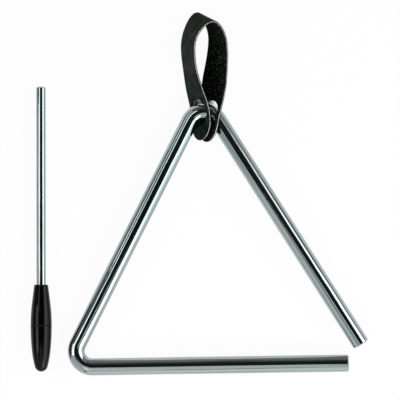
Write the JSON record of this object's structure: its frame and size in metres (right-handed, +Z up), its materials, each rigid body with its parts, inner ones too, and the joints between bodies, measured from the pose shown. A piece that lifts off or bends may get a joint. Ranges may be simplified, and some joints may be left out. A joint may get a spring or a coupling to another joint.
{
  "type": "triangle instrument",
  "caption": "Hand percussion triangle bent from round steel rod, with a leather holder strap threaded on its top bend and a straight steel beater with a moulded black grip.",
  "frame": {"origin": "on the table, under the middle of the bounding box of the whole set as it lies", "axes": "+Z up from the table, +X along the triangle's bar towards the open corner, +Y from the bar towards the strap"},
  "size_m": [0.177, 0.1904, 0.0169],
  "materials": {
    "rod_steel": "bright plated, mirror polished",
    "strap_leather": "black, smooth grain outside and rough flesh side inside",
    "shaft_steel": "bright plated, mirror polished",
    "grip_plastic": "glossy black"
  },
  "bodies": {
    "triangle": {"triangle_rod": "rod_steel"},
    "strap": {"holder_strap": "strap_leather"},
    "beater": {"beater_shaft": "shaft_steel", "beater_grip": "grip_plastic"}
  },
  "joints": [
    {"name": "strap_swing", "type": "hinge", "parent": "triangle", "child": "strap", "pos_m": [0.00391, 0.04234, 0.00797], "axis": [1, 0, 0], "range_deg": [0, 90], "deforming": ["holder_strap"]},
    {"name": "beater_lift", "type": "slide", "parent": "triangle", "child": "beater", "axis": [0, 0, 1], "range_m": [0, 0.1]}
  ]
}
